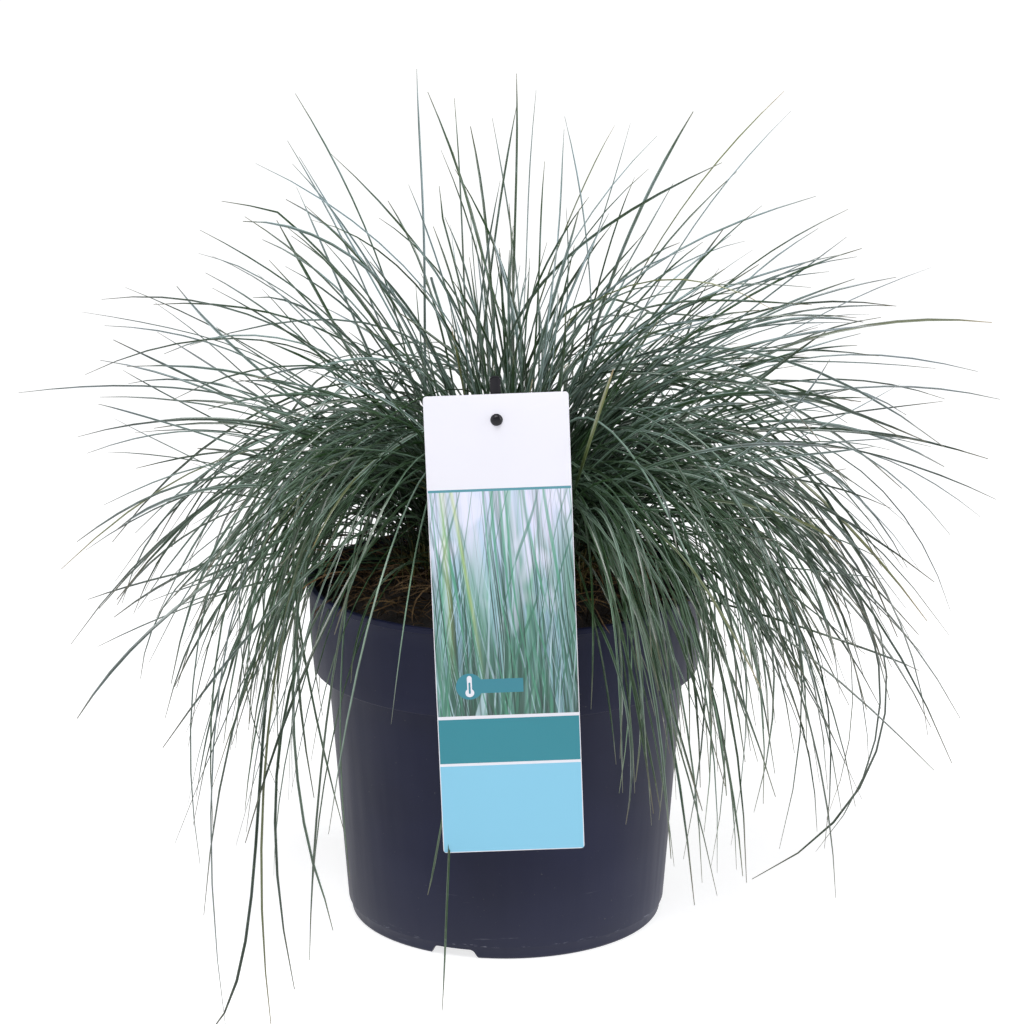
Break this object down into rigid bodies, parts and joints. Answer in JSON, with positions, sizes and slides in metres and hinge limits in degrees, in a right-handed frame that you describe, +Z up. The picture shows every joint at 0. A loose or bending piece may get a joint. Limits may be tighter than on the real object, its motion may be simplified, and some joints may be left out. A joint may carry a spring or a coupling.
{
  "type": "potted blue fescue clump",
  "caption": "Arching clump of fine blue-green grass in a round stepped nursery pot of compost, with a hanging label card on a stake.",
  "frame": {"origin": "on the pot's axis, on the surface that the pot stands on", "axes": "+Z up along the pot's axis; -Y is the front, where the label card hangs; +X is to the right seen from the front"},
  "size_m": [0.4722, 0.4131, 0.413],
  "materials": {
    "pot_plastic": "satin",
    "compost": "matte",
    "thatch": "matte",
    "card": "satin",
    "stake_plastic": "satin",
    "leaf": "satin"
  },
  "bodies": {
    "root": {"pot": "pot_plastic", "soil": "compost", "crown": "thatch", "label_card": "card", "label_stake": "stake_plastic", "tuft_00": "leaf", "tuft_01": "leaf", "tuft_02": "leaf", "tuft_03": "leaf", "tuft_04": "leaf", "tuft_05": "leaf", "tuft_06": "leaf", "tuft_07": "leaf", "tuft_08": "leaf", "tuft_09": "leaf", "tuft_10": "leaf", "tuft_11": "leaf", "tuft_12": "leaf", "tuft_13": "leaf", "tuft_14": "leaf", "tuft_15": "leaf", "tuft_16": "leaf", "tuft_17": "leaf", "tuft_18": "leaf", "tuft_19": "leaf", "tuft_20": "leaf", "tuft_21": "leaf", "tuft_22": "leaf", "tuft_23": "leaf", "tuft_24": "leaf", "tuft_25": "leaf", "tuft_26": "leaf", "tuft_27": "leaf", "tuft_28": "leaf", "tuft_29": "leaf", "tuft_30": "leaf", "tuft_31": "leaf", "tuft_32": "leaf", "tuft_33": "leaf", "tuft_34": "leaf", "tuft_35": "leaf", "tuft_36": "leaf", "tuft_37": "leaf", "tuft_38": "leaf", "tuft_39": "leaf", "tuft_40": "leaf", "tuft_41": "leaf", "tuft_42": "leaf"}
  },
  "joints": []
}
